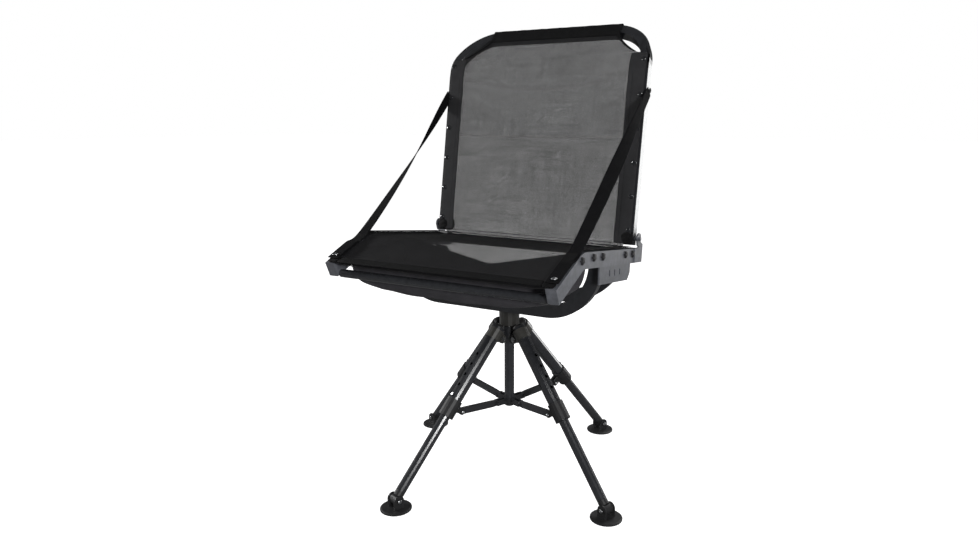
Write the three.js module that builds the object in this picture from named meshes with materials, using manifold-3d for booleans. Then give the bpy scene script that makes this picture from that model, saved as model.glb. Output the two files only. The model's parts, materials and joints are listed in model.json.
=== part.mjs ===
// Folding swivel chair for a hunting blind: a mesh seat and fold-down back on a four-leg folding base.
// Millimetres, +Z up. The origin is on the floor under the swivel axis and the seat faces -Y.
import * as THREE from 'three';
import { mergeVertices } from 'three/addons/utils/BufferGeometryUtils.js';
import Module from 'manifold-3d';

const wasm = await Module();
wasm.setup();

const DEGREE = Math.PI / 180;
const GAP = 0.3; // between pieces that touch
const FIT = 0.4; // radial play of a pin in its hole

// Seat frame
const SEAT_WIDTH = 480; // over the outer faces of the side rails
const RAIL_WIDTH = 20;
const RAIL_HEIGHT = 29;
const RAIL_WALL = 1.8;
const RAIL_TOP = [[-282, 477], [-176, 521, 55], [122, 483]]; // y, z, bend radius along the top face
const CROSS_TUBE_RADIUS = 8;
const CROSS_TUBE_WALL = 1.5;
const FRONT_CROSS_TUBE = [-260, 455]; // y, z of the axis
const REAR_CROSS_TUBE = [78, 475];
const SLING_THICKNESS = 2;
const SEAT_SHEET_REAR = 80; // y

// Two U-shaped tubes that carry the seat
const U_OUTER_HALF = 235;
const U_BOTTOM_Z = 369;
const U_TUBE_HEIGHT = 25; // across the tube, in the plane of the U
const U_TUBE_DEPTH = 18; // front to back
const U_TUBE_WALL = 1.8;
const FRONT_U = { y: -72, bend: 112 }; // bend radius of the outer face
const REAR_U = { y: 60, bend: 138 };

// Slotted plates that join the U tubes to the rails
const SIDE_PLATE_THICKNESS = 3;
const SIDE_PLATE_DROP = 33; // below the rail
const SIDE_PLATE_FRONT_Y = -97;
const SIDE_PLATE_REAR_Y = 66;
const SLOT_PITCH = 26.7;
const SLOT_CENTRE_Y = -20.5;
const SLOT_HALF_WIDTH = 3;

// Back
const HINGE = [99, 505]; // y, z of the back hinge
const BACK_LEAN = 9.6 * DEGREE;
const BACK_BEND = 32 * DEGREE; // how far the top is rolled back
const BACK_BEND_START = 333; // above the hinge, along the side tubes
const BACK_BEND_LENGTH = 45;
const BACK_LENGTH = 451; // hinge to top, along the tubes
const BACK_HALF_WIDTH = 234;
const BACK_TUBE = 20;
const BACK_TUBE_WALL = 1.6;
const BACK_CORNER_RADIUS = 103; // outer face
const BACK_TAIL = 13; // side tubes below the hinge
const BACK_SLEEVE_HALF = 155;
const BACK_SHEET_BOTTOM = -12; // from the hinge, at the side tubes
const BACK_SHEET_TAIL = -22; // from the hinge, between the rails
const HINGE_STUD_RADIUS = 4;
const STRAP_WIDTH = 25;
const STRAP_THICKNESS = 2;
const STRAP_HEIGHT = 296; // of its screw above the hinge, along the side tube

// Swivel
const HOUSING_RADIUS = 21.5;
const HOUSING_BORE = 13;
const SPINDLE_RADIUS = 10;
const HOUSING_BOTTOM_Z = 319.5;
const SWIVEL_PLATE_THICKNESS = 4;

// Hub and column
const HUB_RADIUS = 14;
const HUB_TOP_Z = 317;
const HUB_BOTTOM_Z = 281;
const HUB_PIN_RING = 27; // radius at which the leg pivots stand
const HUB_PIN_Z = 294;
const HUB_LUG_HALF = 7; // half its thickness
const HUB_LUG_RADIUS = 7; // of its eye
const CHEEK_HALF = HUB_LUG_HALF + 4.6; // over the clip that straddles a lug
const PIN_RADIUS = 3.5;
const COLUMN_RADIUS = 10.5;
const COLUMN_WALL = 1.6;
const COLUMN_BOTTOM_Z = 147;

// Legs
const LEG_YAW = 23.6 * DEGREE; // how far the leg cross is turned from the seat's diagonals
const LEGS = { fl: 225, fr: 315, br: 45, bl: 135 };
const FOOT_PIN_RING = 287;
const FOOT_PIN_Z = 19;
const LEG_OFFSET = 17.5; // tube axis to pivot
const UPPER_TUBE_RADIUS = 13.3;
const UPPER_TUBE_WALL = 1.5;
const UPPER_TUBE_TOP = 16; // above the pivot, along the tube
const UPPER_TUBE_BOTTOM = -188;
const LOWER_TUBE_RADIUS = 10;
const LOWER_TUBE_WALL = 1.5;
const HOLE_PITCH = 24;
const HOLE_STEPS = 4;
const BUTTON_DEPTH = -150; // along the tube from the pivot
const BUTTON_RADIUS = 3.2;
const LINK_PIN = [-10, -169]; // across and along the leg, from its pivot
const LINK_HALF_HEIGHT = 6.5;
const LINK_HALF_THICKNESS = 4;
const SPIDER_PIN_RING = 36;
const SPIDER_PIN_Z = 153;
const SPIDER_SLEEVE_RADIUS = 14;
const FOOT_RADIUS = 31;
const FOOT_THICKNESS = 4;
const FOOT_EAR_HALF = 13;
const FOOT_EAR_THICKNESS = 3;

const ROUND = 16; // facets round a tube
const ROUND_SMALL = 12; // facets round a pin or a hole

// Materials
const BLACK_STEEL = { color: 0x17181a, roughness: 0.42, metalness: 0.6 };
const GREY_STEEL = { color: 0x4b4a46, roughness: 0.5, metalness: 0.7 };
const BRIGHT_STEEL = { color: 0xb9bbbd, roughness: 0.3, metalness: 1.0 };
const BLACK_PLASTIC = { color: 0x0d0e0f, roughness: 0.55, metalness: 0.0 };
const MESH_FABRIC = { color: 0x2b2b2c, roughness: 0.85, metalness: 0.0 };
const POUCH_FABRIC = { color: 0x232227, roughness: 0.8, metalness: 0.0 };
const WEBBING = { color: 0x141416, roughness: 0.8, metalness: 0.0 };

function part(name, geometry, look) {
  const mesh = new THREE.Mesh(geometry, new THREE.MeshStandardMaterial(look));
  mesh.name = name;
  return mesh;
}

// ---- Solids: booleans on closed geometries ----

function toSolid(geometry) {
  const bare = geometry.clone();
  bare.deleteAttribute('normal');
  bare.deleteAttribute('uv');
  const merged = mergeVertices(bare, 1e-4);
  const index = merged.index.array;
  const triangles = [];
  for (let i = 0; i < index.length; i += 3) {
    const [a, b, c] = [index[i], index[i + 1], index[i + 2]];
    if (a !== b && b !== c && c !== a) triangles.push(a, b, c);
  }
  return new wasm.Manifold(new wasm.Mesh({
    numProp: 3,
    vertProperties: new Float32Array(merged.attributes.position.array),
    triVerts: new Uint32Array(triangles),
  }));
}

function toGeometry(solid) {
  const { vertProperties, triVerts } = solid.getMesh();
  const geometry = new THREE.BufferGeometry();
  geometry.setAttribute('position', new THREE.BufferAttribute(vertProperties, 3));
  geometry.setIndex(new THREE.BufferAttribute(triVerts, 1));
  geometry.computeVertexNormals();
  return geometry;
}

function join(...geometries) {
  return toGeometry(geometries.map(toSolid).reduce((whole, next) => whole.add(next)));
}

function cut(body, ...tools) {
  return toGeometry(tools.map(toSolid).reduce((whole, tool) => whole.subtract(tool), toSolid(body)));
}

// ---- Profiles ----

// Points and left-hand normals along straight runs joined by arcs. A corner is [x, y, radius].
function pathStations(corners, arcSteps) {
  const points = corners.map(([x, y]) => new THREE.Vector2(x, y));
  const runs = points.slice(1).map((point, i) => point.clone().sub(points[i]).normalize());
  const normals = runs.map((run) => new THREE.Vector2(-run.y, run.x));
  const stations = [{ point: points[0], normal: normals[0] }];
  for (let i = 1; i < points.length - 1; i += 1) {
    const radius = corners[i][2];
    const turn = Math.atan2(runs[i - 1].cross(runs[i]), runs[i - 1].dot(runs[i]));
    const side = Math.sign(turn);
    const setback = radius * Math.tan(Math.abs(turn) / 2);
    const start = points[i].clone().addScaledVector(runs[i - 1], -setback);
    const centre = start.addScaledVector(normals[i - 1], side * radius);
    for (let step = 0; step <= arcSteps; step += 1) {
      const normal = normals[i - 1].clone().rotateAround(new THREE.Vector2(), (turn * step) / arcSteps);
      stations.push({ point: centre.clone().addScaledVector(normal, -side * radius), normal });
    }
  }
  stations.push({ point: points.at(-1), normal: normals.at(-1) });
  return stations;
}

// A band that keeps to one side of a path, between two distances along the path's normals.
function bandShape(corners, low, high, arcSteps = 6) {
  const stations = pathStations(corners, arcSteps);
  const edge = (distance) => stations.map(
    ({ point, normal }) => point.clone().addScaledVector(normal, distance),
  );
  return new THREE.Shape([...edge(low), ...edge(high).reverse()]);
}

// The path made longer by a length at both ends, so that a bore runs out of its tube.
function lengthened(corners, atStart, atEnd = atStart) {
  const stretch = (end, neighbour, length) => {
    const away = new THREE.Vector2(end[0] - neighbour[0], end[1] - neighbour[1]).setLength(length);
    return [end[0] + away.x, end[1] + away.y];
  };
  const first = stretch(corners[0], corners[1], atStart);
  return [first, ...corners.slice(1, -1), stretch(corners.at(-1), corners.at(-2), atEnd)];
}

// The height of the rails' top face at a y.
function railTopZ(y) {
  const [front, kink, rear] = RAIL_TOP;
  const [a, b] = y < kink[0] ? [front, kink] : [kink, rear];
  return a[1] + ((y - a[0]) / (b[0] - a[0])) * (b[1] - a[1]);
}

function railBottomZ(y) {
  const [, kink, rear] = RAIL_TOP;
  const slope = Math.atan2(kink[1] - rear[1], rear[0] - kink[0]);
  return railTopZ(y) - RAIL_HEIGHT / Math.cos(slope);
}

// ---- Geometry placed in the part's axes ----

// A shape drawn in (y, z), from one x to another.
function extrudeAlongX(shape, x0, x1) {
  const geometry = new THREE.ExtrudeGeometry(shape, { depth: x1 - x0, bevelEnabled: false });
  return geometry.applyMatrix4(new THREE.Matrix4().set(0, 0, 1, x0, 1, 0, 0, 0, 0, 1, 0, 0, 0, 0, 0, 1));
}

// A shape drawn in (x, z), from one y to another.
function extrudeAlongY(shape, y0, y1) {
  const geometry = new THREE.ExtrudeGeometry(shape, { depth: y1 - y0, bevelEnabled: false });
  return geometry.applyMatrix4(new THREE.Matrix4().set(1, 0, 0, 0, 0, 0, -1, y1, 0, 1, 0, 0, 0, 0, 0, 1));
}

// A solid turned about Z from a profile of [radius, z] that climbs its outer side.
function turned(profile, facets = ROUND) {
  const points = profile.map(([radius, z]) => new THREE.Vector2(radius, z));
  return new THREE.LatheGeometry(points, facets).rotateX(Math.PI / 2);
}

function ring(inner, outer, z0, z1, facets = ROUND) {
  return turned([[inner, z0], [outer, z0], [outer, z1], [inner, z1], [inner, z0]], facets);
}

function rodZ(radius, z0, z1, facets = ROUND) {
  return new THREE.CylinderGeometry(radius, radius, z1 - z0, facets).rotateX(Math.PI / 2)
    .translate(0, 0, (z0 + z1) / 2);
}

function rodX(radius, x0, x1, facets = ROUND_SMALL) {
  return new THREE.CylinderGeometry(radius, radius, x1 - x0, facets).rotateZ(Math.PI / 2)
    .translate((x0 + x1) / 2, 0, 0);
}

function rodY(radius, y0, y1, facets = ROUND_SMALL) {
  return new THREE.CylinderGeometry(radius, radius, y1 - y0, facets).translate(0, (y0 + y1) / 2, 0);
}

function block(x0, x1, y0, y1, z0, z1) {
  return new THREE.BoxGeometry(x1 - x0, y1 - y0, z1 - z0)
    .translate((x0 + x1) / 2, (y0 + y1) / 2, (z0 + z1) / 2);
}

// A flat eye in the XZ plane: a plate from x0 that ends in a half round about (x1, z).
function eye(x0, x1, z, half, y0, y1) {
  const shape = new THREE.Shape();
  shape.moveTo(x0, z - half);
  shape.lineTo(x1, z - half);
  shape.absarc(x1, z, half, -Math.PI / 2, Math.PI / 2, false);
  shape.lineTo(x0, z + half);
  return extrudeAlongY(new THREE.Shape(shape.getPoints(4)), y0, y1);
}

// ---- Base: hub, spindle and column ----

function hub() {
  let body = rodZ(HUB_RADIUS, HUB_BOTTOM_Z, HUB_TOP_Z);
  for (let quarter = 0; quarter < 4; quarter += 1) {
    const lug = eye(0, HUB_PIN_RING, HUB_PIN_Z, HUB_LUG_RADIUS, -HUB_LUG_HALF, HUB_LUG_HALF);
    const hole = rodY(PIN_RADIUS + FIT, -20, 20).translate(HUB_PIN_RING, 0, HUB_PIN_Z);
    body = join(body, cut(lug, hole).rotateZ(quarter * 90 * DEGREE));
  }
  const socket = rodZ(COLUMN_RADIUS + GAP, HUB_BOTTOM_Z - 1, HUB_BOTTOM_Z + 9);
  const spindleSeat = rodZ(SPINDLE_RADIUS + GAP, HUB_TOP_Z - 8, HUB_TOP_Z + 1);
  return part('hub', cut(body, socket, spindleSeat).rotateZ(LEG_YAW + 45 * DEGREE), BLACK_STEEL);
}

function spindle() {
  const top = U_BOTTOM_Z + U_TUBE_HEIGHT - 6;
  const profile = [
    [0, HUB_TOP_Z - 7.5], [SPINDLE_RADIUS, HUB_TOP_Z - 7.5], [SPINDLE_RADIUS, top - 4],
    [HOUSING_BORE - 0.6, top - 4], [HOUSING_BORE - 0.6, top], [0, top],
  ];
  return part('spindle', turned(profile), BRIGHT_STEEL);
}

function columnTube() {
  const tube = ring(COLUMN_RADIUS - COLUMN_WALL, COLUMN_RADIUS, COLUMN_BOTTOM_Z, HUB_BOTTOM_Z + 8.5);
  return part('column_tube', tube, BLACK_STEEL);
}

function columnEndCap() {
  const z = COLUMN_BOTTOM_Z - GAP;
  const profile = [[0, z - 7], [9, z - 7], [14, z - 3], [14, z], [0, z]];
  return part('column_end_cap', turned(profile), BLACK_PLASTIC);
}

function hubPin(name) {
  const head = CHEEK_HALF + 2.6;
  const shank = rodY(PIN_RADIUS, -head, head);
  const faces = (side) => [side * (CHEEK_HALF + GAP), side * head].sort((a, b) => a - b);
  const heads = [-1, 1].map((side) => rodY(5.5, ...faces(side)));
  return part(`hub_pin_${name}`, join(shank, ...heads).translate(HUB_PIN_RING, 0, HUB_PIN_Z), BRIGHT_STEEL);
}

// ---- Folding legs. In a leg's own frame the pivot is the origin, Z runs up the tube and X points
// outwards. ----

const LEG_DROP = HUB_PIN_Z - FOOT_PIN_Z;
const LEG_REACH = FOOT_PIN_RING - HUB_PIN_RING;
const FOOT_PIN_DEPTH = -Math.sqrt(LEG_DROP ** 2 + LEG_REACH ** 2 - LEG_OFFSET ** 2);
const LEG_ANGLE = Math.atan2(LEG_REACH, LEG_DROP) - Math.atan2(LEG_OFFSET, -FOOT_PIN_DEPTH);

// The room that the hub lug needs in the tube and in its clip as the leg folds.
function lugRoom() {
  const reach = HUB_LUG_RADIUS + 0.5;
  return block(-20, reach, -HUB_LUG_HALF - 0.6, HUB_LUG_HALF + 0.6, -reach, reach);
}

function upperLeg(name) {
  const bore = UPPER_TUBE_RADIUS - UPPER_TUBE_WALL;
  const tube = ring(bore, UPPER_TUBE_RADIUS, UPPER_TUBE_BOTTOM, UPPER_TUBE_TOP);
  const holes = [];
  for (let step = 0; step <= HOLE_STEPS; step += 1) {
    holes.push(rodX(BUTTON_RADIUS + FIT, 5, 20, 8).translate(0, 0, BUTTON_DEPTH + step * HOLE_PITCH));
  }
  const drilled = cut(tube, ...holes).translate(LEG_OFFSET, 0, 0);
  return part(`upper_leg_${name}`, cut(drilled, lugRoom()), BLACK_STEEL);
}

// A clip round the top of the tube whose two cheeks reach in to the hub pin.
function legHead(name) {
  const outline = new THREE.Shape();
  outline.moveTo(LEG_OFFSET, -9);
  outline.lineTo(LEG_OFFSET, 9);
  outline.lineTo(0, 9);
  outline.absarc(0, 0, 9, Math.PI / 2, (Math.PI * 3) / 2, false);
  const cheeks = extrudeAlongY(new THREE.Shape(outline.getPoints(6)), -CHEEK_HALF, CHEEK_HALF);
  const sleeve = rodZ(UPPER_TUBE_RADIUS + 3, -11, 11).translate(LEG_OFFSET, 0, 0);
  const bore = rodZ(UPPER_TUBE_RADIUS + GAP, -20, 20).translate(LEG_OFFSET, 0, 0);
  const slot = block(-20, LEG_OFFSET, -HUB_LUG_HALF - 0.6, HUB_LUG_HALF + 0.6, -20, 20);
  const pinHole = rodY(PIN_RADIUS + FIT, -20, 20);
  return part(`leg_head_${name}`, cut(join(cheeks, sleeve), bore, slot, pinHole), GREY_STEEL);
}

function legCollar(name) {
  const [pinX, pinZ] = LINK_PIN;
  const sleeve = ring(LOWER_TUBE_RADIUS + FIT, 16, UPPER_TUBE_BOTTOM - 6, pinZ + 13);
  sleeve.translate(LEG_OFFSET, 0, 0);
  const inner = LINK_HALF_THICKNESS + GAP;
  const ears = [[-inner - 3, -inner], [inner, inner + 3]].map(([y0, y1]) => (
    eye(8 - LEG_OFFSET, -pinX, pinZ, 6.5, y0, y1).rotateZ(Math.PI)));
  const tubeRoom = rodZ(UPPER_TUBE_RADIUS + GAP, UPPER_TUBE_BOTTOM - GAP, pinZ + 20);
  tubeRoom.translate(LEG_OFFSET, 0, 0);
  const pin = rodY(2.6, -inner - 4.5, inner + 4.5).translate(pinX, 0, pinZ);
  return part(`leg_collar_${name}`, cut(join(sleeve, ...ears, pin), tubeRoom), BLACK_PLASTIC);
}

function lowerLeg(name) {
  const top = BUTTON_DEPTH + 18;
  const tube = ring(LOWER_TUBE_RADIUS - LOWER_TUBE_WALL, LOWER_TUBE_RADIUS, FOOT_PIN_DEPTH + 18, top);
  const hole = rodX(BUTTON_RADIUS + FIT, 4, 14, 8).translate(0, 0, BUTTON_DEPTH);
  return part(`lower_leg_${name}`, cut(tube, hole).translate(LEG_OFFSET, 0, 0), BLACK_STEEL);
}

function snapButton(name) {
  const stem = rodX(BUTTON_RADIUS, 3, UPPER_TUBE_RADIUS + 2.4, 8);
  return part(`snap_button_${name}`, stem.translate(LEG_OFFSET, 0, BUTTON_DEPTH), BRIGHT_STEEL);
}

// A plug in the end of the lower tube with the eye that the foot turns on.
function footKnuckle(name) {
  const depth = FOOT_PIN_DEPTH;
  const plug = rodZ(LOWER_TUBE_RADIUS - LOWER_TUBE_WALL - GAP, depth + 10, depth + 30);
  const shoulder = rodZ(LOWER_TUBE_RADIUS, depth + 8, depth + 18 - GAP);
  const half = FOOT_EAR_HALF - FOOT_EAR_THICKNESS - FIT;
  const knuckle = rodY(9.5, -half, half, ROUND).translate(0, 0, depth);
  const bore = rodY(PIN_RADIUS + FIT, -20, 20).translate(0, 0, depth);
  const body = cut(join(plug, shoulder, knuckle), bore).translate(LEG_OFFSET, 0, 0);
  return part(`foot_knuckle_${name}`, body, BLACK_PLASTIC);
}

// The disc foot stands flat, with its clevis and pin. Its origin is on the floor under the pin.
function footPad(name) {
  const profile = [
    [0, 0], [FOOT_RADIUS, 0], [FOOT_RADIUS, FOOT_THICKNESS - 1.5],
    [FOOT_RADIUS - 3, FOOT_THICKNESS], [0, FOOT_THICKNESS],
  ];
  const ears = [];
  for (const side of [-1, 1]) {
    const outline = new THREE.Shape();
    outline.moveTo(-11, FOOT_THICKNESS - 1);
    outline.lineTo(11, FOOT_THICKNESS - 1);
    outline.absarc(0, FOOT_PIN_Z, 11, 0, Math.PI, false);
    const faces = [side * (FOOT_EAR_HALF - FOOT_EAR_THICKNESS), side * FOOT_EAR_HALF];
    ears.push(extrudeAlongY(new THREE.Shape(outline.getPoints(5)), Math.min(...faces), Math.max(...faces)));
  }
  const pin = rodY(PIN_RADIUS, -FOOT_EAR_HALF - 2, FOOT_EAR_HALF + 2).translate(0, 0, FOOT_PIN_Z);
  return part(`foot_pad_${name}`, join(turned(profile, 24), ...ears, pin), BLACK_PLASTIC);
}

// The bar from the spider to the collar, in the plane of its leg.
function link(name) {
  const outer = new THREE.Vector2(...LINK_PIN).rotateAround(new THREE.Vector2(), LEG_ANGLE)
    .add(new THREE.Vector2(HUB_PIN_RING, HUB_PIN_Z));
  const inner = new THREE.Vector2(SPIDER_PIN_RING, SPIDER_PIN_Z);
  const span = outer.clone().sub(inner);
  const half = LINK_HALF_THICKNESS;
  const shape = new THREE.Shape();
  shape.moveTo(0, -5.5);
  shape.lineTo(12, -LINK_HALF_HEIGHT);
  shape.lineTo(span.length() - 8, -LINK_HALF_HEIGHT);
  shape.lineTo(span.length(), -5.5);
  shape.absarc(span.length(), 0, 5.5, -Math.PI / 2, Math.PI / 2, false);
  shape.lineTo(span.length() - 8, LINK_HALF_HEIGHT);
  shape.lineTo(12, LINK_HALF_HEIGHT);
  shape.lineTo(0, 5.5);
  shape.absarc(0, 0, 5.5, Math.PI / 2, (Math.PI * 3) / 2, false);
  const bar = extrudeAlongY(new THREE.Shape(shape.getPoints(4)), -half, half);
  const hole = rodY(2.6 + FIT, -10, 10).translate(span.length(), 0, 0);
  const mesh = part(`link_${name}`, cut(bar, hole), BLACK_STEEL);
  mesh.position.set(inner.x, 0, inner.y);
  mesh.rotation.y = -span.angle();
  return mesh;
}

// The sleeve on the column with a pair of ears for each link.
function spider() {
  const inner = LINK_HALF_THICKNESS + GAP;
  const pieces = [rodZ(SPIDER_SLEEVE_RADIUS, SPIDER_PIN_Z - 5.5, SPIDER_PIN_Z + 6)];
  for (let quarter = 0; quarter < 4; quarter += 1) {
    for (const [y0, y1] of [[-inner - 3, -inner], [inner, inner + 3]]) {
      const ear = eye(4, SPIDER_PIN_RING, SPIDER_PIN_Z, 5.5, y0, y1);
      pieces.push(ear.rotateZ(quarter * 90 * DEGREE));
    }
    for (const side of [-1, 1]) {
      const faces = [side * (inner + 2.5), side * (inner + 4.5)];
      const rivet = rodY(3.6, Math.min(...faces), Math.max(...faces));
      pieces.push(rivet.translate(SPIDER_PIN_RING, 0, SPIDER_PIN_Z).rotateZ(quarter * 90 * DEGREE));
    }
  }
  const bore = rodZ(COLUMN_RADIUS + FIT, SPIDER_PIN_Z - 20, SPIDER_PIN_Z + 20);
  return part('spider', cut(join(...pieces), bore).rotateZ(LEG_YAW + 45 * DEGREE), BLACK_STEEL);
}

function leg(name) {
  const tube = new THREE.Group();
  tube.add(upperLeg(name), legHead(name), legCollar(name));
  tube.add(lowerLeg(name), snapButton(name), footKnuckle(name));
  tube.position.set(HUB_PIN_RING, 0, HUB_PIN_Z);
  tube.rotation.y = -LEG_ANGLE;
  const foot = footPad(name);
  foot.position.x = FOOT_PIN_RING;
  const whole = new THREE.Group();
  whole.add(hubPin(name), tube, link(name), foot);
  whole.rotation.z = LEGS[name] * DEGREE + LEG_YAW;
  return whole;
}

// ---- Swivel ----

function swivelHousing() {
  const top = U_BOTTOM_Z + U_TUBE_HEIGHT;
  const profile = [
    [HOUSING_BORE, HOUSING_BOTTOM_Z], [HOUSING_RADIUS - 2, HOUSING_BOTTOM_Z],
    [HOUSING_RADIUS, HOUSING_BOTTOM_Z + 2],
    [HOUSING_RADIUS, top - 4], [38, top - 4], [38, top], [HOUSING_BORE, top],
    [HOUSING_BORE, HOUSING_BOTTOM_Z],
  ];
  return part('swivel_housing', turned(profile), GREY_STEEL);
}

function swivelBush() {
  const top = U_BOTTOM_Z + U_TUBE_HEIGHT - 11;
  const bush = ring(SPINDLE_RADIUS + GAP, HOUSING_BORE - GAP, HOUSING_BOTTOM_Z + 1, top);
  return part('swivel_bush', bush, BLACK_PLASTIC);
}

function swivelPlate() {
  const z = U_BOTTOM_Z + U_TUBE_HEIGHT + GAP;
  const y0 = FRONT_U.y - U_TUBE_DEPTH / 2;
  const y1 = REAR_U.y + U_TUBE_DEPTH / 2;
  return part('swivel_plate', block(-62, 62, y0, y1, z, z + SWIVEL_PLATE_THICKNESS), BLACK_STEEL);
}

// ---- Seat frame ----

function uTube(name, { y, bend }) {
  const top = railBottomZ(y + U_TUBE_DEPTH / 2) - GAP;
  const bendZ = U_BOTTOM_Z + bend;
  const bendX = U_OUTER_HALF - bend;
  const outline = (inset, rise) => {
    const outer = bend - inset;
    const inner = bend - U_TUBE_HEIGHT + inset;
    const end = Math.min(top, bendZ) + rise;
    const shape = new THREE.Shape();
    const outerTurn = Math.asin((end - bendZ) / outer);
    const innerTurn = Math.asin((end - bendZ) / inner);
    shape.absarc(-bendX, bendZ, outer, Math.PI - outerTurn, Math.PI * 1.5, false);
    shape.absarc(bendX, bendZ, outer, -Math.PI / 2, outerTurn, false);
    shape.absarc(bendX, bendZ, inner, innerTurn, -Math.PI / 2, true);
    shape.absarc(-bendX, bendZ, inner, Math.PI * 1.5, Math.PI - innerTurn, true);
    return new THREE.Shape(shape.getPoints(9));
  };
  const half = U_TUBE_DEPTH / 2;
  const bar = extrudeAlongY(outline(0, 0), y - half, y + half);
  const bore = extrudeAlongY(outline(U_TUBE_WALL, 2), y - half + U_TUBE_WALL, y + half - U_TUBE_WALL);
  return part(name, cut(bar, bore), BLACK_STEEL);
}

function sideRail(name, side) {
  const x0 = side > 0 ? SEAT_WIDTH / 2 - RAIL_WIDTH : -SEAT_WIDTH / 2;
  const bar = extrudeAlongX(bandShape(RAIL_TOP, -RAIL_HEIGHT, 0), x0, x0 + RAIL_WIDTH);
  const hollow = bandShape(lengthened(RAIL_TOP, -RAIL_WALL, 2), RAIL_WALL - RAIL_HEIGHT, -RAIL_WALL);
  const bore = extrudeAlongX(hollow, x0 + RAIL_WALL, x0 + RAIL_WIDTH - RAIL_WALL);
  return part(name, cut(bar, bore), BLACK_STEEL);
}

function crossTube(name, [y, z]) {
  const half = SEAT_WIDTH / 2 - RAIL_WIDTH - GAP;
  const tube = ring(CROSS_TUBE_RADIUS - CROSS_TUBE_WALL, CROSS_TUBE_RADIUS, -half, half);
  return part(name, tube.rotateY(Math.PI / 2).translate(0, y, z), BLACK_STEEL);
}

function sidePlate(name, side) {
  const outline = new THREE.Shape();
  const top = (y) => railBottomZ(y) - GAP;
  const bottom = (y) => railBottomZ(y) - SIDE_PLATE_DROP;
  outline.moveTo(SIDE_PLATE_FRONT_Y, top(SIDE_PLATE_FRONT_Y));
  outline.lineTo(SIDE_PLATE_FRONT_Y, bottom(SIDE_PLATE_FRONT_Y));
  outline.lineTo(SIDE_PLATE_REAR_Y - 16, bottom(SIDE_PLATE_REAR_Y - 16));
  outline.lineTo(SIDE_PLATE_REAR_Y - 2, bottom(SIDE_PLATE_REAR_Y) + 14);
  outline.lineTo(SIDE_PLATE_REAR_Y, top(SIDE_PLATE_REAR_Y));
  for (const step of [-1, 0, 1]) {
    const y = SLOT_CENTRE_Y + step * SLOT_PITCH;
    const z = railBottomZ(y) - SIDE_PLATE_DROP * 0.42;
    const slot = new THREE.Path();
    slot.absarc(y, z + 3.5, SLOT_HALF_WIDTH, 0, Math.PI, false);
    slot.absarc(y, z - 3.5, SLOT_HALF_WIDTH, Math.PI, Math.PI * 2, false);
    outline.holes.push(new THREE.Path(slot.getPoints(4)));
  }
  const inner = U_OUTER_HALF + GAP;
  const faces = [side * inner, side * (inner + SIDE_PLATE_THICKNESS)];
  return part(name, extrudeAlongX(outline, Math.min(...faces), Math.max(...faces)), BLACK_STEEL);
}

// A strip bolted to the rail's rear end that rises to the hinge stud.
function hingeBracket(name, side) {
  const [y, z] = HINGE;
  const outline = new THREE.Shape();
  const front = y - 21;
  const rear = y + 21;
  outline.moveTo(front, railBottomZ(front) + 1);
  outline.lineTo(rear, railBottomZ(rear) + 1);
  outline.lineTo(rear + 4, z - 14);
  outline.absarc(y + 2, z, 12, -0.6, Math.PI * 0.95, false);
  outline.lineTo(y - 6, z - 12);
  outline.lineTo(y + 2, railTopZ(y) + 3);
  outline.lineTo(front, railTopZ(front) - 1);
  const inner = SEAT_WIDTH / 2 + GAP;
  const faces = [side * inner, side * (inner + 3)];
  const strip = extrudeAlongX(new THREE.Shape(outline.getPoints(5)), Math.min(...faces), Math.max(...faces));
  const studFaces = [side * (BACK_HALF_WIDTH - BACK_TUBE - 4), side * (inner + 7)];
  const stud = rodX(HINGE_STUD_RADIUS, Math.min(...studFaces), Math.max(...studFaces)).translate(0, y, z);
  return part(name, join(strip, stud), BLACK_STEEL);
}

// ---- Fabric ----

function seatSling() {
  const top = [RAIL_TOP[0], RAIL_TOP[1], [SEAT_SHEET_REAR, railTopZ(SEAT_SHEET_REAR)]];
  const half = SEAT_WIDTH / 2 - 3;
  const sheet = extrudeAlongX(bandShape(top, GAP, GAP + SLING_THICKNESS), -half, half);
  return part('seat_sling', sheet, MESH_FABRIC);
}

// The storage pouch that hangs between the rails under the front of the seat.
function seatPouch() {
  const front = FRONT_CROSS_TUBE[0] + 12;
  const rear = FRONT_U.y - 14;
  const outline = new THREE.Shape();
  outline.moveTo(front, railTopZ(front) - 3);
  outline.lineTo(front + 2, 446);
  outline.quadraticCurveTo(-210, 425, -150, 421);
  outline.quadraticCurveTo(-100, 420, rear, 432);
  outline.lineTo(rear, railTopZ(rear) - 3);
  outline.lineTo(RAIL_TOP[1][0] + 22, railTopZ(RAIL_TOP[1][0] + 22) - 5);
  outline.lineTo(RAIL_TOP[1][0] - 22, railTopZ(RAIL_TOP[1][0] - 22) - 5);
  return part('seat_pouch', extrudeAlongX(new THREE.Shape(outline.getPoints(5)), -208, 208), POUCH_FABRIC);
}

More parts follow.
